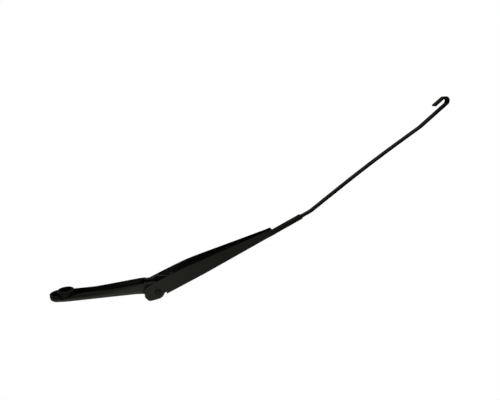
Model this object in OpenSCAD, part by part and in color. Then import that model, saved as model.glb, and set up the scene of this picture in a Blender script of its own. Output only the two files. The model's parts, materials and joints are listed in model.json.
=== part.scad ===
// Windscreen wiper arm: die-cast head, stamped channel, flat rod with a J-hook, and the spring between them.
// The origin is the mouth of the spindle bore on the glass side. Z runs out of the windscreen along the
// spindle, X runs towards the blade and Y is the hinge axis. The arm hangs on its inner stop.

/* [Head] */
// Outside width of the cast head
head_w = 25.4; // [25:0.2:26]
// Height of the outer face above the mouth of the spindle bore
face_h = 15.2; // [14.8:0.2:15.6]
// Thickness of the floor under the outer face
floor_t = 3; // [2.5:0.5:3.5]
// Thickness of the tray's walls
tray_t = 2.5; // [2:0.1:3]
// Distance from the spindle to the centre of the rounded nose
nose_back = 9.4; // [9:0.1:10]
// Outside diameter of the spindle collar
collar_d = 24; // [23:0.5:24.5]
// Large diameter of the toothed taper, at its mouth
taper_d = 16; // [15:0.5:16]
// Small diameter of the toothed taper
taper_end_d = 13.2; // [12:0.2:14]
// Number of teeth round the taper
teeth = 60; // [40:10:72]
// Depth of a tooth
tooth_h = 0.5; // [0.3:0.1:0.6]
// Diameter of the plain hole for the spindle's thread
stud_hole_d = 10.6; // [10.4:0.2:11]
// Diameter of the nut's seat on the outer face
nut_seat_d = 23.4; // [23:0.2:23.6]

/* [Hinge] */
// Distance from the spindle to the hinge, along X
hinge_x = 133.8; // [130:0.2:136]
// Height of the hinge above the mouth of the spindle bore
hinge_z = 12.9; // [12.5:0.1:13.5]
// Angle of the channel below the head, on the inner stop
droop = 24.5; // [20:0.5:26]
// Diameter of the hinge rivet
rivet_d = 7; // [6.5:0.5:7]
// Diameter of the rivet's heads
rivet_head_d = 10; // [9.6:0.2:10.4]
// Diameter of the dish in each head
rivet_dish_d = 7.6; // [7:0.2:8]
// Radial gap between the rivet and its bushes
running_gap = 0.05; // [0.02:0.01:0.08]
// Width of the slot between the head's two cheeks
slot_w = 10; // [9:0.5:11]

/* [Channel] */
// Thickness of the stamped sheet
sheet_t = 1.5; // [1.4:0.1:1.6]
// Outside width over the two ears
ear_w = 30.4; // [30.4:0.2:31]
// Height of the web's outer face above the hinge
web_h = 11.4; // [11.2:0.1:11.6]
// Depth from the hinge to the open rim
rim_depth = 16.4; // [16:0.1:17]
// Length from the hinge to the start of the folded sleeve
sleeve_start = 202; // [200:1:204]
// Length of the folded sleeve
sleeve_len = 60; // [55:1:62]
// Angle of the sleeve to the web
sleeve_tilt = 1.8; // [1:0.1:2]

/* [Rod] */
// Width of the flat bar, the standard width of a hook blade's bar
rod_w = 9; // [9]
// Thickness of the flat bar
rod_t = 3; // [3]
// Angle of the bend just past the sleeve
rod_bend = 10.3; // [8:0.1:12]
// Angle by which the long stretch bows back
rod_bow = 3.1; // [2:0.1:4]
// Angle of the bend before the hook
tip_bend = 6.3; // [5:0.1:8]
// Gap inside the hook
hook_gap = 9.8; // [9:0.1:10]
// Length of the hook's return leg
hook_leg = 20.6; // [20:0.2:23]

/* [Spring] */
// Diameter of the spring wire
wire_d = 3; // [2.8:0.1:3]
// Outside diameter of the coil
coil_d = 14.6; // [14:0.1:14.7]
// Distance between turns
coil_pitch = 4.4; // [4.2:0.1:4.4]
// Number of turns
coil_turns = 20; // [19:1:20]
// Distance from the hinge to the link's pin
link_pin_r = 10; // [10:0.1:10.2]
// Lift at which the spring passes the hinge
over_centre = 68; // [66:1:68]
// Diameter of the link's pin
link_pin_d = 5; // [4.8:0.1:5]
// Thickness of the link
link_t = 3; // [2.8:0.1:3]
// Width of the link's strip
link_w = 4.5; // [4:0.1:4.5]

/* [Hidden] */
fine = 64;
cut = 1;

black_paint = [0.035, 0.035, 0.034];
black_cast = [0.045, 0.045, 0.043];
black_plastic = [0.03, 0.03, 0.03];
black_spring = [0.05, 0.05, 0.05];
bare_steel = [0.18, 0.18, 0.18];

nose_r = head_w / 2;
edge_r = 4;
nose_edge_r = 6;
knuckle_edge_r = 1.5;
knuckle_r = 9.3;
nose_rim_z = 4.8;
collar_edge_r = 1.6;
collar_rim_z = 9.8;
tray_ceiling = face_h - floor_t;
tray_end = 113.6;
slot_roof_start = 122;
mouth_d = 16.8;
mouth_len = 1.2;
stud_hole_len = 4;
nut_seat_depth = 0.7;
knuckle_start = 129.5;
knuckle_angle = acos((knuckle_start - hinge_x) / knuckle_r);
cheek_foot_z = -1.9;
// Where the head's rim stands along X, as pairs of X and Z
rim_line = [[-nose_back, nose_rim_z], [-7.5, nose_rim_z], [-5, collar_rim_z], [1, collar_rim_z], [11, 5.2],
            [40, 5.2], [62, 3.2], [107, -1.4], [116.2, -1.6], [117.4, -0.4], [knuckle_start, cheek_foot_z]];
rise_start = 98;

ear_in = ear_w / 2 - sheet_t;
bush_r = rivet_d / 2 + running_gap + 1.05;
bush_flange_r = 7.4;
bush_flange_t = ear_in - head_w / 2 - 0.1;
bush_depth = 6.7;
rivet_head_h = 0.7;
rivet_dish_depth = 1.3;

web_start = 11;
web_drop = 0.8;
taper_from = 75;
taper_to = 194;
corner_r = 4.6;
corner_end_r = 1.6;
rim_bend = 60;
rim_bend_z = -15.3;
rim_slope = 0.104;
rim_step = sleeve_start + 4.5;
rim_end = sleeve_start + 7.5;
sleeve_w = rod_w + 2 * sheet_t;
sleeve_h = rod_t + 2 * sheet_t;
sleeve_edge_r = 1.4;
// How far the walls stand proud of the sleeve where they run into it
sleeve_step = 0.06;
sleeve_z = web_h - web_drop - sleeve_h / 2 - 0.1;
seam_gap = 0.9;

tail_len = 25;
tail_bend = 15.2;
tail_bend_r = 12;
seat_bend_r = 60;
tail_tab = 28.5;
tail_hole_r = 3.4;
tail_hole_from_end = 5.5;
rod_bend_r = 30;
rod_end_straight = 16;
rod_lead = 63;
bow_r = 135 / (rod_bow * PI / 180);
tip_lead = 40.6;
tip_bend_r = 40;
tip_straight = 59.7;

loop_r = 4.8;
wire_sides = 8;
link_eye_r = 5.2;
link_len = 33;
link_hole_r = 3.4;
link_end_r = 5.6;
coil_start = 47;
coil_r = (coil_d - wire_d) / 2;
steps_per_turn = 12;

// The stretches of the rod's tail, from its end by the spring to the start of the sleeve
tail_steps = [[tail_tab], [-tail_bend, tail_bend_r], [tail_len], [-sleeve_tilt, seat_bend_r]];
tail_turn = tail_bend + sleeve_tilt;
tail_line = bar_line(tail_steps, [0, 0, tail_turn]);
tail_reach = tail_line[len(tail_line) - 1];
// The end of the tail, seen from the start of the sleeve in the sleeve's frame
tail_start = [-tail_reach[0], -tail_reach[1], tail_turn];
// The hole in the rod's tail, seen from the hinge in the arm's own frame
tail_hole = tail_hole_at();
// The link's pin, seen from the hinge in the arm's own frame, on the inner stop
pin_angle = atan2(tail_hole[1], tail_hole[0]) - (180 - over_centre);
link_pin_at = link_pin_r * [cos(pin_angle), sin(pin_angle)];
spring_span = norm(tail_hole - link_pin_at);
spring_angle = atan2(tail_hole[1] - link_pin_at[1], tail_hole[0] - link_pin_at[0]);

function mix(a, b, t) = a + (b - a) * t;
function limit(t) = min(1, max(0, t));
function soft(t) = let (u = limit(t)) u * u * (3 - 2 * u);
// Height of a line given as pairs, at x
function on_line(line, x, i = 0) =
    i >= len(line) - 2 || x <= line[i + 1][0]
        ? mix(line[i][1], line[i + 1][1], (x - line[i][0]) / (line[i + 1][0] - line[i][0]))
        : on_line(line, x, i + 1);
function arc(centre, r, from, to, n) =
    [for (i = [0:n]) let (a = mix(from, to, i / n)) centre + r * [cos(a), sin(a)]];
function bezier(p, n) =
    [for (i = [1:n]) let (t = i / n, u = 1 - t)
        u * u * u * p[0] + 3 * u * u * t * p[1] + 3 * u * t * t * p[2] + t * t * t * p[3]];

// Puts the children in the arm's frame: its origin on the hinge, its X along the web
module in_arm() {
    translate([hinge_x, 0, hinge_z])
        rotate([0, droop, 0])
            children();
}

// Puts the children on the spring's line: its origin on the link's pin, its X towards the rod's tail
module on_spring_line() {
    in_arm()
        translate([link_pin_at[0], 0, link_pin_at[1]])
            rotate([0, -spring_angle, 0])
                children();
}

// Extrudes an outline drawn in X and Z to a width along Y, centred
module across(width) {
    rotate([90, 0, 0])
        linear_extrude(width, center = true)
            children();
}

// A round bar along Y, centred
module cross_bar(r, length) {
    rotate([90, 0, 0])
        cylinder(r = r, h = length, center = true, $fn = fine);
}

// A solid through rings of points, each ring with the same even number, its two halves facing each other
module loft(rings) {
    n = len(rings[0]);
    last = (len(rings) - 1) * n;
    points = [for (ring = rings) each ring];
    sides = [for (a = [0:n:last - n], j = [0:n - 1]) let (b = a + j, c = a + (j + 1) % n)
        each [[b, c + n, c], [b, b + n, c + n]]];
    start = [for (j = [0:n / 2 - 2]) [j, j + 1, n - 2 - j, n - 1 - j]];
    end = [for (face = start) [for (i = [3:-1:0]) last + face[i]]];
    polyhedron(points, concat(sides, start, end), convexity = 6);
}

// Head

// Height of the outer face, which is flat and then curves up to meet the round end over the hinge
function head_top(x) =
    let (long = knuckle_start - rise_start, t = limit((x - rise_start) / long), a = knuckle_angle)
    face_h + (hinge_z + knuckle_r * sin(a) - face_h) * soft(t) - long / tan(a) * t * t * (t - 1);
// Radius of the rounded upper edges, largest at the nose and smallest at the hinge
function head_edge(x) = x < 1
    ? mix(nose_edge_r, edge_r, soft((x + nose_back) / (1 + nose_back)))
    : mix(edge_r, knuckle_edge_r, soft((x - rise_start) / (knuckle_start - rise_start)));

// One cross-section of the head's outside: straight sides and two rounded upper edges
function head_ring(x) =
    let (top = head_top(x), r = head_edge(x), low = on_line(rim_line, x), c = nose_r - r)
    let (half = arc([c, top - r], r, 0, 90, 6))
    [for (p = concat([[nose_r, low]], half, [for (i = [6:-1:0]) [-half[i][0], half[i][1]]], [[-nose_r, low]]))
        [x, p[0], p[1]]];

head_stations = [-nose_back, -7.5, -5, 1, 11, 40, 62, 80, 98, 102, 107, 110, 113, 116.2, 117.4, 122, 126,
                 knuckle_start];

module head_shell() {
    loft([for (x = head_stations) head_ring(x)]);
    translate([-nose_back, 0, 0])
        rotate([0, 0, 90])
            rotate_extrude(angle = 180, $fn = fine)
                nose_section();
    knuckle();
}

// Half section of the rounded nose, with the same edge as the straight stretch
module nose_section() {
    c = nose_r - nose_edge_r;
    polygon(concat([[0, nose_rim_z], [nose_r, nose_rim_z]],
                   arc([c, face_h - nose_edge_r], nose_edge_r, 0, 90, 6), [[0, face_h]]));
}

// The end round the hinge, down to the foot of the two cheeks
module knuckle() {
    across(head_w)
        polygon(concat([[knuckle_start, cheek_foot_z], [knuckle_start + 4, cheek_foot_z + 1.2]],
                       arc([hinge_x, hinge_z], knuckle_r, -20, knuckle_angle, 12)));
}

// The tray seen from the glass: straight walls and the round pocket in the nose
module tray_outline() {
    r = nose_r - tray_t;
    polygon(concat([[tray_end, r]], arc([-nose_back, 0], r, 90, 270, 24), [[tray_end, -r]]));
}

// Half section of the spindle collar, rounded round its mouth
module collar_section() {
    r = collar_d / 2;
    polygon(concat([[0, 0]], arc([r - collar_edge_r, collar_edge_r], collar_edge_r, -90, 0, 5),
                   [[r, tray_ceiling + cut], [0, tray_ceiling + cut]]));
}

// The toothed taper, as the space that it leaves
module taper_space() {
    outline = [for (i = [0:2 * teeth - 1]) let (r = taper_d / 2 - (i % 2) * tooth_h)
        r * [cos(180 * i / teeth), sin(180 * i / teeth)]];
    taper_len = face_h - stud_hole_len;
    linear_extrude(taper_len, scale = taper_end_d / taper_d)
        polygon(outline);
}

module mounting_head() {
    slot_top = hinge_z + knuckle_r + cut;
    color(black_cast)
    difference() {
        union() {
            difference() {
                head_shell();
                // The tray, open towards the glass
                translate([0, 0, -20])
                    linear_extrude(20 + tray_ceiling)
                        tray_outline();
            }
            rotate_extrude($fn = fine)
                collar_section();
        }
        // The slot between the cheeks, with its roof cut away near the hinge
        translate([tray_end - cut, -slot_w / 2, -20])
            cube([60, slot_w, 20 + tray_ceiling]);
        translate([slot_roof_start, -slot_w / 2, tray_ceiling - cut])
            cube([40, slot_w, slot_top]);
        taper_space();
        translate([0, 0, -cut])
            cylinder(d = mouth_d, h = mouth_len + cut, $fn = fine);
        translate([0, 0, face_h - stud_hole_len - cut])
            cylinder(d = stud_hole_d, h = stud_hole_len + 2 * cut, $fn = fine);
        translate([0, 0, face_h - nut_seat_depth])
            cylinder(d = nut_seat_d, h = cut + nut_seat_depth, $fn = fine);
        translate([hinge_x, 0, hinge_z])
            cross_bar(bush_r, head_w + 2 * cut);
        link_pin_place()
            cross_bar(link_pin_d / 2, head_w + 2 * cut);
    }
}

module link_pin_place() {
    in_arm()
        translate([link_pin_at[0], 0, link_pin_at[1]])
            children();
}

// Flanged bush pressed into one cheek, side is 1 for the left and -1 for the right
module hinge_bush(side) {
    inner = head_w / 2 - bush_depth;
    color(black_plastic)
    translate([hinge_x, 0, hinge_z])
        rotate([-90 * side, 0, 0])
            difference() {
                union() {
                    translate([0, 0, inner])
                        cylinder(r = bush_r, h = bush_depth + bush_flange_t, $fn = fine);
                    translate([0, 0, head_w / 2])
                        cylinder(r = bush_flange_r, h = bush_flange_t, $fn = fine);
                }
                translate([0, 0, inner - cut])
                    cylinder(r = rivet_d / 2 + running_gap, h = bush_depth + bush_flange_t + 2 * cut, $fn = fine);
            }
}

module hinge_bush_left() {
    hinge_bush(1);
}

module hinge_bush_right() {
    hinge_bush(-1);
}

module link_pin() {
    chamfer = 0.4;
    color(bare_steel)
    link_pin_place()
        rotate([90, 0, 0])
            union() {
                cylinder(d = link_pin_d, h = head_w - 2 * chamfer - 0.4, center = true, $fn = fine);
                for (side = [-1, 1])
                    scale([1, 1, side])
                        translate([0, 0, head_w / 2 - chamfer - 0.2])
                            cylinder(d1 = link_pin_d, d2 = link_pin_d - 2 * chamfer, h = chamfer, $fn = fine);
            }
}

// Channel

function half_width(x) =
    mix(ear_w / 2, sleeve_w / 2 + sleeve_step, limit((x - taper_from) / (taper_to - taper_from)));
function web_z(x) = web_h - web_drop * (x - web_start) / (sleeve_start - web_start);
function rim_z(x) = x < rim_bend
    ? -rim_depth + (rim_bend_z + rim_depth) * pow((x - web_start) / (rim_bend - web_start), 2)
    : x <= rim_step ? rim_bend_z + rim_slope * (x - rim_bend)
    : mix(rim_z(rim_step), sleeve_z, (x - rim_step) / (rim_end - rim_step));
function channel_corner(x) = mix(corner_r, corner_end_r, limit((x - taper_from) / (taper_to - taper_from)));

// One cross-section of the channel: a U of even thickness with two bends, open towards the glass
function channel_ring(x) =
    let (w = half_width(x), top = web_z(x), r = channel_corner(x), low = rim_z(x), c = w - r)
    let (outside = arc([c, top - r], r, 0, 90, 5), inside = arc([c, top - r], r - sheet_t, 0, 90, 5))
    let (right = concat([[w, low]], outside), right_in = concat([[w - sheet_t, low]], inside))
    [for (p = concat(right, [for (i = [6:-1:0]) [-right[i][0], right[i][1]]],
                     [for (i = [0:6]) [-right_in[i][0], right_in[i][1]]], [for (i = [6:-1:0]) right_in[i]]))
        [x, p[0], p[1]]];

channel_stations = [web_start, 24, 38, 50, rim_bend, 75, 90, 105, 120, 135, 150, 165, 180, 194, sleeve_start,
                    rim_step, rim_end];

// Side outline of an ear, from the rim round the lobe to the end of the web
module ear_outline() {
    foot = web_z(web_start) - corner_r;
    polygon(concat([[web_start + 2, 0.8 - rim_depth], [web_start, -rim_depth]],
                   arc([-9.3, 9.1 - rim_depth], 9.1, 270, 205, 5),
                   arc([-11, -1.5], 9.6, 195, 150, 4),
                   arc([-14, 2.2], 5.9, 140, 100, 3),
                   [[-9.8, 9.7]],
                   arc([-1.5, -1], 12.2, 106, 40, 7),
                   [[web_start + 2, foot - 0.8]]));
}

// The tube folded round the rod, with the seam where its two flanges meet
module sleeve() {
    c = [sleeve_w / 2 - sleeve_edge_r, sleeve_h / 2 - sleeve_edge_r];
    difference() {
        rotate([90, 0, 90])
            linear_extrude(sleeve_len)
                union() {
                    square([sleeve_w, 2 * c[1]], center = true);
                    square([2 * c[0], sleeve_h], center = true);
                    for (sy = [-1, 1], sz = [-1, 1])
                        translate([sy * c[0], sz * c[1]])
                            circle(sleeve_edge_r, $fn = fine);
                }
        translate([-cut, -rod_w / 2, -rod_t / 2])
            cube([sleeve_len + 2 * cut, rod_w, rod_t]);
        translate([-cut, -seam_gap / 2, -sleeve_h / 2 - cut])
            cube([sleeve_len + 2 * cut, seam_gap, sleeve_h / 2 + cut]);
    }
}

module at_sleeve() {
    translate([sleeve_start, 0, sleeve_z])
        rotate([0, sleeve_tilt, 0])
            children();
}

module channel() {
    color(black_paint)
    in_arm()
        difference() {
            union() {
                loft([for (x = channel_stations) channel_ring(x)]);
                for (side = [-1, 1])
                    translate([0, side * (ear_w / 2 - sheet_t / 2), 0])
                        across(sheet_t)
                            ear_outline();
                at_sleeve()
                    sleeve();
            }
            cross_bar(rivet_d / 2, ear_w + 2 * cut);
        }
}

// Rivet with low dished heads, fixed in the two ears
module hinge_rivet() {
    half = rivet_half();
    color(black_paint)
    in_arm()
        rotate([90, 0, 0])
            rotate_extrude($fn = fine)
                polygon(concat(half, [for (i = [len(half) - 1:-1:0]) [half[i][0], -half[i][1]]]));
}

// Half section of one half of the rivet, from its shank to the middle of the dish in its head
function rivet_half() =
    let (top = ear_w / 2 + rivet_head_h, r = rivet_head_d / 2, dish = rivet_dish_d / 2)
    let (dish_r = (dish * dish + rivet_dish_depth * rivet_dish_depth) / (2 * rivet_dish_depth))
    concat([[rivet_d / 2, ear_w / 2], [r, ear_w / 2], [r, top - 0.4], [r - 0.5, top]],
           arc([0, top - rivet_dish_depth + dish_r], dish_r, asin(dish / dish_r) - 90, -90, 5));

// Rod

// A bar's centre line made of straight stretches [length] and bends [angle, radius] to the left, one after
// another, as rows of X, Y and the angle there
function bar_line(steps, at = [0, 0, 0], i = 0) =
    i >= len(steps) ? [at]
    : let (parts = bar_parts(steps[i], at))
        concat([for (j = [0:len(parts) - 2]) parts[j]], bar_line(steps, parts[len(parts) - 1], i + 1));
function bar_parts(step, at) =
    len(step) == 1 ? [at, [at[0] + step[0] * cos(at[2]), at[1] + step[0] * sin(at[2]), at[2]]]
    : let (turn = step[0], r = step[1] * sign(turn), n = max(4, ceil(abs(turn) / 7.5)))
        [for (j = [0:n]) let (a = at[2] + turn * j / n)
            [at[0] + r * (sin(a) - sin(at[2])), at[1] - r * (cos(a) - cos(at[2])), a]];

// A bar's side outline, thick / 2 to each side of its centre line
module bar_run(steps, thick, at = [0, 0, 0]) {
    line = bar_line(steps, at);
    polygon(concat([for (p = line) [p[0] - thick / 2 * sin(p[2]), p[1] + thick / 2 * cos(p[2])]],
                   [for (i = [len(line) - 1:-1:0]) let (p = line[i])
                       [p[0] + thick / 2 * sin(p[2]), p[1] - thick / 2 * cos(p[2])]]));
}

// The stretches of the rod from the start of the sleeve to the tip of the hook
rod_steps = [[sleeve_len + rod_end_straight], [-rod_bend, rod_bend_r], [rod_lead], [rod_bow, bow_r], [tip_lead],
             [-tip_bend, tip_bend_r], [tip_straight], [-180, hook_gap / 2 + rod_t / 2], [hook_leg]];

// Where the middle of the tail's hole lies, seen from the hinge in the arm's frame
function tail_hole_at() =
    let (x = tail_start[0] + tail_hole_from_end * cos(tail_turn))
    let (z = tail_start[1] + tail_hole_from_end * sin(tail_turn))
    [sleeve_start + x * cos(sleeve_tilt) + z * sin(sleeve_tilt),
     sleeve_z - x * sin(sleeve_tilt) + z * cos(sleeve_tilt)];

module arm_rod() {
    color(black_paint)
    in_arm()
        difference() {
            at_sleeve()
                across(rod_w)
                    bar_run(concat(tail_steps, rod_steps), rod_t, tail_start);
            translate([tail_hole[0], 0, tail_hole[1]])
                rotate([0, -tail_bend, 0])
                    cylinder(r = tail_hole_r, h = 4 * rod_t, center = true, $fn = fine);
        }
}

// Spring and link

// The stretches of the link's strip, from its pin round the rivet to the spring
link_steps = [[6.5], [92, 7], [14.36], [-30, 10], [2.5]];
link_lead = -62;

module spring_link() {
    color(bare_steel)
    on_spring_line()
        difference() {
            union() {
                across(link_t)
                    rotate(link_lead)
                        bar_run(link_steps, link_w);
                cross_bar(link_eye_r, link_t);
                translate([link_len, 0, 0])
                    cross_bar(link_end_r, link_t);
            }
            cross_bar(link_pin_d / 2 + running_gap, link_t + 2 * cut);
            translate([link_len, 0, 0])
                cross_bar(link_hole_r, link_t + 2 * cut);
        }
}

coil_end = coil_start + coil_turns * coil_pitch;
near_loop_x = link_len + 1.1 + loop_r;
tail_lean = tail_bend - spring_angle;
far_loop = [spring_span - (loop_r - 1.1) * cos(tail_lean), 0, -(loop_r - 1.1) * sin(tail_lean)];
near_loop = [for (a = [40:20:330]) [near_loop_x + loop_r * cos(a), loop_r * sin(a), 0]];
near_end = near_loop[len(near_loop) - 1];
coil_first = [coil_start, coil_r, 0];
coil = [for (i = [0:coil_turns * steps_per_turn]) let (a = 360 * i / steps_per_turn)
    [coil_start + coil_pitch * i / steps_per_turn, coil_r * cos(a), coil_r * sin(a)]];
coil_last = coil[len(coil) - 1];
far_curl = [for (a = [150:-20:-170]) far_loop + loop_r * [cos(a), 0, sin(a)]];
wire_path = concat(near_loop,
                   bezier([near_end, near_end + [1, 2.6, 0], coil_first + [-0.6, 0, -2.6], coil_first], 5),
                   [for (i = [1:len(coil) - 1]) coil[i]],
                   bezier([coil_last, coil_last + [1.2, 0, 3.6], far_curl[0] - [5, 0, 4.6], far_curl[0]], 8),
                   [for (i = [1:len(far_curl) - 1]) far_curl[i]]);

function unit(v) = v / norm(v);
// Direction of the wire at each of its points
wire_ways = [for (i = [0:len(wire_path) - 1])
    unit(wire_path[min(i + 1, len(wire_path) - 1)] - wire_path[max(i - 1, 0)])];
// A side direction carried along the wire without twist
wire_sidewise = [for (i = 0, v = [0, 0, 1]; i < len(wire_path); i = i + 1,
                      v = i < len(wire_path) ? unit(v - (v * wire_ways[i]) * wire_ways[i]) : v)
    unit(v - (v * wire_ways[i]) * wire_ways[i])];

module tension_spring() {
    color(black_spring)
    on_spring_line()
        loft([for (i = [0:len(wire_path) - 1])
            let (u = wire_sidewise[i], v = cross(wire_ways[i], u))
            [for (j = [0:wire_sides - 1]) let (a = 360 * j / wire_sides)
                wire_path[i] + wire_d / 2 * (cos(a) * u + sin(a) * v)]]);
}

mounting_head();
hinge_bush_left();
hinge_bush_right();
link_pin();
channel();
hinge_rivet();
arm_rod();
spring_link();
tension_spring();
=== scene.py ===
import json
import math

import bpy
from mathutils import Matrix, Vector


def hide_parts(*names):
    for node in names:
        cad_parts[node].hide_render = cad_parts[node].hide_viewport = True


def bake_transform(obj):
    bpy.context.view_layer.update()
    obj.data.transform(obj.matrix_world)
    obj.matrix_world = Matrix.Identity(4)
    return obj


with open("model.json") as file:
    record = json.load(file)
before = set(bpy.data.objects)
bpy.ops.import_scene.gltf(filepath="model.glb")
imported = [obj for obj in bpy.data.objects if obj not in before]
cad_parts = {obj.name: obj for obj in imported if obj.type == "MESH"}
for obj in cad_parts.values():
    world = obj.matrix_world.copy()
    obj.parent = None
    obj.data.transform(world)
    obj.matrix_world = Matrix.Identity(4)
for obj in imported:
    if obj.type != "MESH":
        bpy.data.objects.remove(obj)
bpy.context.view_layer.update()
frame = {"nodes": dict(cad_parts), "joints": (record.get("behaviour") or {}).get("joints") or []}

nodes = frame["nodes"]

# Camera and room
# The arm lies on its outer face, so the picture's upward side is the part's glass side. The lens is a wide
# one, about 0.65 m from the arm. Floor and room show white and light the arm only a little.
camera_place = (0.1162, 0.5959, -0.2764)
picture_right = Vector((0.9633, 0.2680, -0.0155)).normalized()
picture_up = Vector((0.0498, -0.2350, -0.9707))
picture_up = (picture_up - picture_up.dot(picture_right) * picture_right).normalized()
towards_camera = picture_right.cross(picture_up)
camera_turn = Matrix((picture_right, picture_up, towards_camera)).transposed().to_4x4()
camera = bpy.data.objects.new("camera", bpy.data.cameras.new("camera"))
bpy.context.scene.collection.objects.link(camera)
camera.matrix_world = Matrix.Translation(camera_place) @ camera_turn
camera.data.sensor_width = 36.0
camera.data.lens = 28.51
camera.data.clip_start = 0.01
bpy.context.scene.camera = camera
bpy.context.scene.view_settings.view_transform = "Standard"


def new_material(name):
    """An empty node material with a Principled BSDF on its output."""
    material = bpy.data.materials.new(name)
    material.use_nodes = True
    tree = material.node_tree
    tree.nodes.clear()
    output = tree.nodes.new("ShaderNodeOutputMaterial")
    shader = tree.nodes.new("ShaderNodeBsdfPrincipled")
    tree.links.new(shader.outputs["BSDF"], output.inputs["Surface"])
    return material, tree, shader


def add_to_scene(name, mesh):
    """A mesh as an object in the scene, at the origin."""
    piece = bpy.data.objects.new(name, mesh)
    bpy.context.scene.collection.objects.link(piece)
    return piece


def put(tree, socket, term):
    """Another node's output linked to a socket, or a number or colour set on it."""
    if isinstance(term, bpy.types.NodeSocket):
        tree.links.new(term, socket)
    else:
        socket.default_value = term


def calculate(tree, operation, *terms):
    """The result of a Math node on its terms."""
    node = tree.nodes.new("ShaderNodeMath")
    node.operation = operation
    for socket, term in zip(node.inputs, terms):
        put(tree, socket, term)
    return node.outputs["Value"]


def seen_white(tree, plain, white):
    """The white shader to the camera, in reflections and through glass, and the plain one to the rest."""
    path = tree.nodes.new("ShaderNodeLightPath")
    seen = path.outputs["Is Camera Ray"]
    for ray in ("Is Glossy Ray", "Is Transmission Ray"):
        seen = calculate(tree, "MAXIMUM", seen, path.outputs[ray])
    mix = tree.nodes.new("ShaderNodeMixShader")
    for socket, output in zip(mix.inputs, (seen, plain, white)):
        tree.links.new(output, socket)
    return mix.outputs["Shader"]


room = bpy.data.worlds.new("room")
bpy.context.scene.world = room
room.use_nodes = True
room_tree = room.node_tree
room_tree.nodes.clear()
strength_as_light, strength_as_seen = 0.45, 1.0
room_lights = []
for strength in (strength_as_light, strength_as_seen):
    background = room_tree.nodes.new("ShaderNodeBackground")
    background.inputs["Color"].default_value = (1.0, 1.0, 1.0, 1.0)
    background.inputs["Strength"].default_value = strength
    room_lights.append(background.outputs["Background"])
room_output = room_tree.nodes.new("ShaderNodeOutputWorld")
room_tree.links.new(seen_white(room_tree, *room_lights), room_output.inputs["Surface"])

floor_height = -0.9
floor_corners = [(-3.0, -3.0), (3.5, -3.0), (3.5, 3.0), (-3.0, 3.0)]
floor_mesh = bpy.data.meshes.new("floor")
floor_mesh.from_pydata([(x, y, floor_height) for x, y in floor_corners], [], [(0, 1, 2, 3)])
floor = add_to_scene("floor", floor_mesh)
floor_white, floor_tree, floor_shader = new_material("floor_white")
floor_shader.inputs["Base Color"].default_value = (0.8, 0.8, 0.8, 1.0)
floor_shader.inputs["Roughness"].default_value = 0.9
floor_glow = floor_tree.nodes.new("ShaderNodeEmission")
floor_seen = seen_white(floor_tree, floor_shader.outputs["BSDF"], floor_glow.outputs["Emission"])
floor_output = [node for node in floor_tree.nodes if node.type == "OUTPUT_MATERIAL"][0]
floor_tree.links.new(floor_seen, floor_output.inputs["Surface"])
floor_mesh.materials.append(floor_white)


def softbox(name, place, power):
    """A square area lamp at place, turned to the middle of the arm."""
    lamp_side = 0.7
    arm_middle = Vector((0.3, 0.0, -0.1))
    lamp = bpy.data.lights.new(name, "AREA")
    lamp.shape = "SQUARE"
    lamp.size = lamp_side
    lamp.energy = power
    holder = bpy.data.objects.new(name, lamp)
    bpy.context.scene.collection.objects.link(holder)
    holder.location = place
    holder.rotation_euler = (arm_middle - Vector(place)).to_track_quat("-Z", "Y").to_euler()


softbox("glass_side_light", place=(0.25, 0.15, -0.85), power=6.0)
softbox("outer_side_light", place=(0.1, 0.5, 0.9), power=7.0)

# Mounting head
# A die casting with one coat of satin black paint, grainy from the casting skin under it. A nut holds its
# toothed taper on the spindle, and its two cheeks carry the hinge.


def ramp(tree, value, start, end, low=0.0, high=1.0, curve="LINEAR"):
    """A value mapped from start and end to low and high, and held there outside them."""
    node = tree.nodes.new("ShaderNodeMapRange")
    node.interpolation_type = curve
    limits = (("From Min", start), ("From Max", end), ("To Min", low), ("To Max", high))
    for title, term in (*limits, ("Value", value)):
        put(tree, node.inputs[title], term)
    return node.outputs["Result"]


def mixed(tree, amount, first, second):
    """The colour that lies by amount between two colours."""
    node = tree.nodes.new("ShaderNodeMix")
    node.data_type = "RGBA"
    for title, term in (("Factor", amount), ("A", first), ("B", second)):
        put(tree, node.inputs[title], term)
    return node.outputs["Result"]


def noise(tree, place, scale, detail=2.0):
    """Noise over the piece."""
    node = tree.nodes.new("ShaderNodeTexNoise")
    for title, term in (("Vector", place), ("Scale", scale), ("Detail", detail)):
        put(tree, node.inputs[title], term)
    return node.outputs["Fac"]


def split(tree, vector):
    """The X, Y and Z of a vector."""
    node = tree.nodes.new("ShaderNodeSeparateXYZ")
    tree.links.new(vector, node.inputs["Vector"])
    return node.outputs


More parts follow.
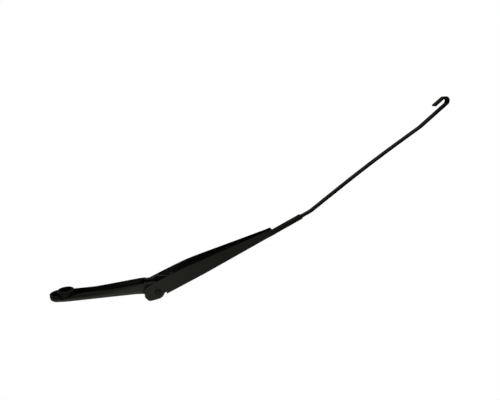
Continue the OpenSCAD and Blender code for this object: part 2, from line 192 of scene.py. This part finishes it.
def black_coat_group():
    """Bumps and cloudiness of a black coat, and its painted shade, Unshaded: darker in hollows, along sharp
    edges and creases, and on faces turned to the glass."""
    cloud_scale = 35.0
    edge_width = 0.0008
    flat_likeness, sharp_likeness, sharp_edge_shade = 0.995, 0.86, 0.15
    hollow_depth = 0.018
    closed_hollow, open_hollow = 0.5, 0.95
    glass_face, side_face = -0.75, -0.25
    group = bpy.data.node_groups.new("black_coat", "ShaderNodeTree")
    for title, way, kind in (
        ("Grain Scale", "INPUT", "NodeSocketFloat"),
        ("Glass Side", "INPUT", "NodeSocketFloat"),
        ("Grain", "OUTPUT", "NodeSocketFloat"),
        ("Cloud", "OUTPUT", "NodeSocketFloat"),
        ("Unshaded", "OUTPUT", "NodeSocketFloat"),
        ("Softened", "OUTPUT", "NodeSocketVector"),
    ):
        group.interface.new_socket(name=title, in_out=way, socket_type=kind)
    new, link = group.nodes.new, group.links.new
    inlet, outlet = new("NodeGroupInput"), new("NodeGroupOutput")
    place = new("ShaderNodeTexCoord")
    grain = noise(group, place.outputs["Object"], inlet.outputs["Grain Scale"], detail=3.0)
    cloud = noise(group, place.outputs["Object"], cloud_scale, detail=4.0)
    rounded = new("ShaderNodeBevel")
    rounded.samples = 6
    rounded.inputs["Radius"].default_value = edge_width
    true = new("ShaderNodeNewGeometry")
    likeness = new("ShaderNodeVectorMath")
    likeness.operation = "DOT_PRODUCT"
    link(rounded.outputs["Normal"], likeness.inputs[0])
    link(true.outputs["Normal"], likeness.inputs[1])
    # Painted shade along sharp edges and creases, where the rounded normal turns away from the true one.
    edge_shade = ramp(group, likeness.outputs["Value"], flat_likeness, sharp_likeness, low=1.0, high=sharp_edge_shade)
    # Painted shade in hollows, by how closed in each point is.
    hollow = new("ShaderNodeAmbientOcclusion")
    hollow.samples = 12
    hollow.inputs["Distance"].default_value = hollow_depth
    hollow_shade = ramp(group, hollow.outputs["AO"], closed_hollow, open_hollow)
    # Painted shade on faces turned to the glass, down to Glass Side.
    facing = split(group, place.outputs["Normal"])
    glassward_shade = ramp(group, facing["Z"], glass_face, side_face, low=inlet.outputs["Glass Side"])
    # The three painted shades together: 1 keeps the coat's own tone, 0 is fully shaded.
    unshaded = calculate(group, "MULTIPLY", calculate(group, "MULTIPLY", hollow_shade, edge_shade), glassward_shade)
    link(grain, outlet.inputs["Grain"])
    link(cloud, outlet.inputs["Cloud"])
    link(unshaded, outlet.inputs["Unshaded"])
    link(rounded.outputs["Normal"], outlet.inputs["Softened"])
    return group


black_coat = black_coat_group()


def coated(name, dark, light, rough, grain_scale, depth, glass_side=0.4, painted_light=None):
    """A satin black coat between two tones, with painted shade that takes it nearly to black in hollows,
    along sharp edges and creases, and on faces turned to the glass. The group painted_light, where there is
    one, paints more light and shade from place to place."""
    shade_share = 0.1
    rough_spread = 0.07
    specular = 0.006
    bump_strength = 0.35
    material, tree, shader = new_material(name)
    coat = tree.nodes.new("ShaderNodeGroup")
    coat.node_tree = black_coat
    coat.inputs["Grain Scale"].default_value = grain_scale
    # Glass Side is how dark the painted shade on faces turned to the glass goes.
    coat.inputs["Glass Side"].default_value = glass_side
    cloud = coat.outputs["Cloud"]
    # amount is the painted shade, times the group's painted light where there is one: 1 keeps the coat's
    # tone, 0 gives the shaded colour.
    amount = coat.outputs["Unshaded"]
    if painted_light:
        places = tree.nodes.new("ShaderNodeGroup")
        places.node_tree = painted_light
        # The group's painted light and shade scales the coat's brightness.
        amount = calculate(tree, "MULTIPLY", amount, places.outputs["Painted Light"])
    coat_tone = mixed(tree, cloud, (*dark, 1.0), (*light, 1.0))
    # The colour of the painted shade, a share of the dark tone.
    shaded = (*(shade_share * part for part in dark), 1.0)
    put(tree, shader.inputs["Base Color"], mixed(tree, amount, shaded, coat_tone))
    gloss = ramp(tree, cloud, 0.0, 1.0, low=rough - rough_spread, high=rough + rough_spread)
    put(tree, shader.inputs["Roughness"], gloss)
    shader.inputs["Specular IOR Level"].default_value = specular
    bump = tree.nodes.new("ShaderNodeBump")
    bump.inputs["Distance"].default_value = depth
    bump.inputs["Strength"].default_value = bump_strength
    tree.links.new(coat.outputs["Grain"], bump.inputs["Height"])
    tree.links.new(coat.outputs["Softened"], bump.inputs["Normal"])
    tree.links.new(bump.outputs["Normal"], shader.inputs["Normal"])
    return material


def finish_node(node, material):
    """One material over a whole CAD node."""
    mesh = nodes[node].data
    mesh.materials.clear()
    mesh.materials.append(material)


def painted_light_group(name):
    """A group with one output, Painted Light, still unlinked, and the place and normal of each point in it.
    The output carries painted light and shade.
    """
    group = bpy.data.node_groups.new(name, "ShaderNodeTree")
    group.interface.new_socket(name="Painted Light", in_out="OUTPUT", socket_type="NodeSocketFloat")
    point = group.nodes.new("ShaderNodeTexCoord")
    painted_light = group.nodes.new("NodeGroupOutput").inputs["Painted Light"]
    return group, point.outputs["Object"], point.outputs["Normal"], painted_light


def cast_painted_light():
    """Painted shade on the nose and along the rim, and painted light that grows towards the hinge. A painted
    highlight runs along the rounded outer shoulders, brightest at the nose."""
    per_metre_along, per_metre_outwards, shade_start = 14.0, 80.0, -0.90
    most_shaded, most_lit = 0.14, 0.69
    shoulder_start, shoulder_full, shoulder_highlight_gain = 0.0082, 0.0112, 0.5
    nose_end, wall_start, nose_highlight_gain = 0.015, 0.050, 1.75
    flat_face, tilted_face = 0.95, 0.70
    group, place, normal, painted_light = painted_light_group("cast_painted_light")
    place, facing = split(group, place), split(group, normal)
    # Painted light that grows along the arm towards the hinge and out towards the outer face.
    outwards = calculate(group, "MULTIPLY_ADD", place["Z"], per_metre_outwards, shade_start)
    painted_gradient = calculate(group, "MULTIPLY_ADD", place["X"], per_metre_along, outwards)
    painted_gradient = ramp(group, painted_gradient, 0.0, 1.0, low=most_shaded, high=most_lit, curve="SMOOTHSTEP")
    # A painted highlight on the rounded outer shoulders, strongest at the nose.
    shoulder = ramp(group, place["Z"], shoulder_start, shoulder_full, high=shoulder_highlight_gain)
    nose = ramp(group, place["X"], nose_end, wall_start, low=nose_highlight_gain, high=1.0)
    off_flat_face = ramp(group, facing["Z"], flat_face, tilted_face)
    painted_highlight = calculate(group, "MULTIPLY", shoulder, nose)
    group.links.new(calculate(group, "MULTIPLY_ADD", painted_highlight, off_flat_face, painted_gradient), painted_light)
    return group


cast_paint = coated(
    "cast_paint",
    dark=(0.0290, 0.0294, 0.0238),
    light=(0.0400, 0.0405, 0.0328),
    rough=0.42,
    grain_scale=1400.0,
    depth=0.00012,
    glass_side=0.6,
    painted_light=cast_painted_light(),
)
finish_node("mounting_head", cast_paint)

# Hinge bushes
# Two flanged bushes of matt black plastic, pressed into the cheeks. The flanges keep the ears off the
# casting, and the rivet turns in them.


def moulded_plastic():
    """Matt black plastic with a faint mould texture."""
    dark, light = (0.008, 0.008, 0.008, 1.0), (0.012, 0.012, 0.012, 1.0)
    polished, dull = 0.5, 0.7
    specular = 0.08
    grain_scale, grain_depth, bump_strength = 2200.0, 0.00005, 0.3
    material, tree, shader = new_material("bush_plastic")
    place = tree.nodes.new("ShaderNodeTexCoord")
    grain = noise(tree, place.outputs["Object"], grain_scale)
    put(tree, shader.inputs["Base Color"], mixed(tree, grain, dark, light))
    put(tree, shader.inputs["Roughness"], ramp(tree, grain, 0.0, 1.0, low=polished, high=dull))
    shader.inputs["Specular IOR Level"].default_value = specular
    bump = tree.nodes.new("ShaderNodeBump")
    bump.inputs["Distance"].default_value = grain_depth
    bump.inputs["Strength"].default_value = bump_strength
    tree.links.new(grain, bump.inputs["Height"])
    tree.links.new(bump.outputs["Normal"], shader.inputs["Normal"])
    return material


bush_plastic = moulded_plastic()
finish_node("hinge_bush_left", bush_plastic)
finish_node("hinge_bush_right", bush_plastic)

# Link pin and link
# A steel pin pressed across the cheeks, and the bent flat-steel link that swings on it and pulls the
# spring round the hinge rivet. Both are black with phosphate and a film of grease.


def phosphated_steel():
    """Black phosphated steel with a greasy film that comes and goes."""
    dark, light = (0.004, 0.004, 0.0038, 1.0), (0.009, 0.009, 0.0084, 1.0)
    greasy, dry = 0.3, 0.6
    specular = 0.05
    stain_scale = 260.0
    material, tree, shader = new_material("bare_steel")
    place = tree.nodes.new("ShaderNodeTexCoord")
    stain = noise(tree, place.outputs["Object"], stain_scale, detail=5.0)
    put(tree, shader.inputs["Base Color"], mixed(tree, stain, dark, light))
    put(tree, shader.inputs["Roughness"], ramp(tree, stain, 0.0, 1.0, low=greasy, high=dry))
    shader.inputs["Specular IOR Level"].default_value = specular
    return material


bare_steel = phosphated_steel()
finish_node("link_pin", bare_steel)
finish_node("spring_link", bare_steel)

# Channel
# One steel stamping: the web and two tapering walls, the ears of the hinge, and the end folded round the
# bar. It turns on the rivet, and is painted satin black all over after folding.


def sheet_painted_light():
    """Painted light makes the sheet brightest at the ears. Painted shade darkens the sleeve, most along its
    four long bends.
    """
    ear_end, wall_middle, wall_light_share = 0.130, 0.235, 0.54
    sleeve_start, sleeve_full, sleeve_shade_depth = 0.312, 0.322, 0.95
    flat_slant, bend_slant, flat_shade_share = 0.05, 0.25, 0.35
    group, place, normal, painted_light = painted_light_group("sheet_painted_light")
    place, facing = split(group, place), split(group, normal)
    # Painted shade on the sleeve, deepest along its four long bends.
    slant = calculate(group, "ABSOLUTE", calculate(group, "MULTIPLY", facing["Y"], facing["Z"]))
    bend = ramp(group, slant, flat_slant, bend_slant, low=flat_shade_share)
    on_sleeve = ramp(group, place["X"], sleeve_start, sleeve_full, high=sleeve_shade_depth)
    bend_shade = calculate(group, "MULTIPLY", bend, on_sleeve)
    # What the painted shade leaves of the sleeve's brightness.
    left = calculate(group, "MULTIPLY_ADD", bend_shade, -1.0, 1.0)
    # Painted light, strongest at the ears.
    ear_light = ramp(group, place["X"], ear_end, wall_middle, low=1.0, high=wall_light_share)
    group.links.new(calculate(group, "MULTIPLY", left, ear_light), painted_light)
    return group


sheet_paint = coated(
    "sheet_paint",
    dark=(0.0172, 0.0176, 0.0143),
    light=(0.0228, 0.0233, 0.0189),
    rough=0.40,
    grain_scale=1900.0,
    depth=0.00008,
    painted_light=sheet_painted_light(),
)
finish_node("channel", sheet_paint)

# Hinge rivet
# A steel rivet with low dished heads, set in the two ears and painted with the channel. Each dish has painted
# shade towards the glass, and painted highlights on its middle, its outer ring and its outer side.
joints = {joint["name"]: joint for joint in frame["joints"]}


def rivet_painted_light():
    """Painted highlights on the middle, the outer ring and the outer side of the rivet's head, and painted
    shade on the rest.
    """
    hinge_x, _, hinge_z = joints["arm_lift"]["pos_m"]
    middle_edge, middle_full, dish_share = 0.0026, 0.0012, 0.15
    ring_start, ring_full, ring_share = 0.0040, 0.0048, 0.7
    outer_start, outer_full, outer_share = -0.0014, 0.0010, 0.75
    group, place, _, painted_light = painted_light_group("rivet_painted_light")
    from_axis = group.nodes.new("ShaderNodeVectorMath")
    from_axis.operation = "MULTIPLY_ADD"
    from_axis.inputs[1].default_value = (1.0, 0.0, 1.0)
    from_axis.inputs[2].default_value = (-hinge_x, 0.0, -hinge_z)
    group.links.new(place, from_axis.inputs[0])
    radius = group.nodes.new("ShaderNodeVectorMath")
    radius.operation = "LENGTH"
    group.links.new(from_axis.outputs["Vector"], radius.inputs[0])
    middle = ramp(group, radius.outputs["Value"], middle_edge, middle_full, low=dish_share)
    ring = ramp(group, radius.outputs["Value"], ring_start, ring_full, high=ring_share)
    outwards = split(group, from_axis.outputs["Vector"])["Z"]
    outer = ramp(group, outwards, outer_start, outer_full, high=outer_share)
    painted_rivet_light = calculate(group, "MAXIMUM", calculate(group, "MAXIMUM", middle, ring), outer)
    group.links.new(painted_rivet_light, painted_light)
    return group


rivet_paint = coated(
    "rivet_paint",
    dark=(0.0220, 0.0220, 0.0183),
    light=(0.0260, 0.0260, 0.0216),
    rough=0.40,
    grain_scale=1900.0,
    depth=0.00008,
    painted_light=rivet_painted_light(),
)
finish_node("hinge_rivet", rivet_paint)

# Bar
# One 9 x 3 mm flat steel bar, crimped in the channel's end and bent to a J-hook for the blade. It has the
# same black paint, a little glossier on its rolled faces.


def bar_painted_light():
    """A painted highlight along the middle of the bar's wide faces, and painted shade on its rolled edges."""
    shade_from_middle, highlight_from_middle, rolled_edge_shade = 0.0042, 0.0012, 0.12
    group, place, _, painted_light = painted_light_group("bar_painted_light")
    aside = calculate(group, "ABSOLUTE", split(group, place)["Y"])
    painted_gradient = ramp(group, aside, shade_from_middle, highlight_from_middle, low=rolled_edge_shade, curve="SMOOTHSTEP")
    group.links.new(painted_gradient, painted_light)
    return group


bar_paint = coated(
    "bar_paint",
    dark=(0.0084, 0.0086, 0.0060),
    light=(0.0112, 0.0115, 0.0081),
    rough=0.34,
    grain_scale=1700.0,
    depth=0.00006,
    glass_side=1.0,
    painted_light=bar_painted_light(),
)
finish_node("arm_rod", bar_paint)

# Spring
# hole in the bar's tail. It is dark with phosphate. Lifting the arm stretches the real spring between its two
# loops; this mesh is drawn as it lies at rest.
wire_radius = 0.0015
wire_sides = 12
turn_steps = 30
loop_step = 10.0
near_bend_steps = 10
far_bend_steps = 14
loop_radius = 0.0048
near_loop_angles = (40.0, 320.0)
far_loop_angles = (150.0, -170.0)
coil_radius = 0.0058
coil_start = 0.047
coil_pitch = 0.0044
coil_turns = 20
link_eye_to_pin = 0.033
tail_to_pin = 0.1538
loop_seat = 0.0011
tail_lean = math.radians(11.33)

pin = Vector(joints["link_swing"]["pos_m"])
along = Vector(joints["spring_stretch"]["axis"]).normalized()
sideways = Vector((0.0, 1.0, 0.0))
upwards = along.cross(sideways)


def on_spring(x, y, z):
    """A point given along, across and above the spring's line, which starts at the link's pin."""
    return pin + along * x + sideways * y + upwards * z


def curve_between(start, leave, arrive, end, steps):
    """The inner points and the end of a smooth curve between two points and their two handles."""
    points = []
    for i in range(1, steps + 1):
        t = i / steps
        u = 1.0 - t
        points.append(u**3 * start + 3 * u * u * t * leave + 3 * u * t * t * arrive + t**3 * end)
    return points


def loop_points(centre, first, last, place):
    """Points round a loop from one angle to the other, in degrees, with place for its plane."""
    steps = round(abs(last - first) / loop_step)
    angles = [math.radians(first + (last - first) * i / steps) for i in range(steps + 1)]
    return [centre + place(loop_radius * math.cos(a), loop_radius * math.sin(a)) for a in angles]


def spring_path():
    """The wire's centre line, from the tip of the near loop to the tip of the far one. The handles of its two
    bends are given as how far they reach along the spring and across it."""
    near_leave, near_arrive = (0.001, 0.0026), (0.0006, 0.0026)
    far_leave, far_arrive = (0.0012, 0.0036), (0.005, 0.0046)
    near_centre = on_spring(link_eye_to_pin + loop_seat + loop_radius, 0.0, 0.0)
    path = loop_points(near_centre, *near_loop_angles, lambda c, s: along * c + sideways * s)
    coil = []
    for i in range(coil_turns * turn_steps + 1):
        angle = 2.0 * math.pi * i / turn_steps
        x = coil_start + coil_pitch * i / turn_steps
        coil.append(on_spring(x, coil_radius * math.cos(angle), coil_radius * math.sin(angle)))
    leave = path[-1] + along * near_leave[0] + sideways * near_leave[1]
    arrive = coil[0] - along * near_arrive[0] - upwards * near_arrive[1]
    path += curve_between(path[-1], leave, arrive, coil[0], near_bend_steps) + coil[1:]
    hang = loop_radius - loop_seat
    far_centre = on_spring(tail_to_pin - hang * math.cos(tail_lean), 0.0, -hang * math.sin(tail_lean))
    far = loop_points(far_centre, *far_loop_angles, lambda c, s: along * c + upwards * s)
    leave = path[-1] + along * far_leave[0] + upwards * far_leave[1]
    arrive = far[0] - along * far_arrive[0] - upwards * far_arrive[1]
    return path + curve_between(path[-1], leave, arrive, far[0], far_bend_steps) + far[1:]


def wire_mesh(name, path, radius, sides):
    """A round wire along a path, closed at both ends."""
    points, faces = [], []
    aside = upwards.copy()
    for i, centre in enumerate(path):
        way = (path[min(i + 1, len(path) - 1)] - path[max(i - 1, 0)]).normalized()
        aside = (aside - aside.dot(way) * way).normalized()
        other = way.cross(aside)
        for j in range(sides):
            angle = 2.0 * math.pi * j / sides
            points.append(centre + radius * (math.cos(angle) * aside + math.sin(angle) * other))
    for i in range(len(path) - 1):
        for j in range(sides):
            k = (j + 1) % sides
            faces.append((i * sides + j, i * sides + k, (i + 1) * sides + k, (i + 1) * sides + j))
    faces.append(tuple(reversed(range(sides))))
    faces.append(tuple(range((len(path) - 1) * sides, len(path) * sides)))
    mesh = bpy.data.meshes.new(name)
    mesh.from_pydata(points, [], faces)
    for face in mesh.polygons:
        face.use_smooth = len(face.vertices) == 4
    return mesh


spring_coat = coated(
    "spring_coat",
    dark=(0.0035, 0.0035, 0.0031),
    light=(0.0055, 0.0055, 0.0049),
    rough=0.36,
    grain_scale=2500.0,
    depth=0.00005,
)
spring = add_to_scene("spring", wire_mesh("spring", spring_path(), wire_radius, wire_sides))
spring.data.materials.append(spring_coat)
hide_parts("tension_spring")
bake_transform(spring)
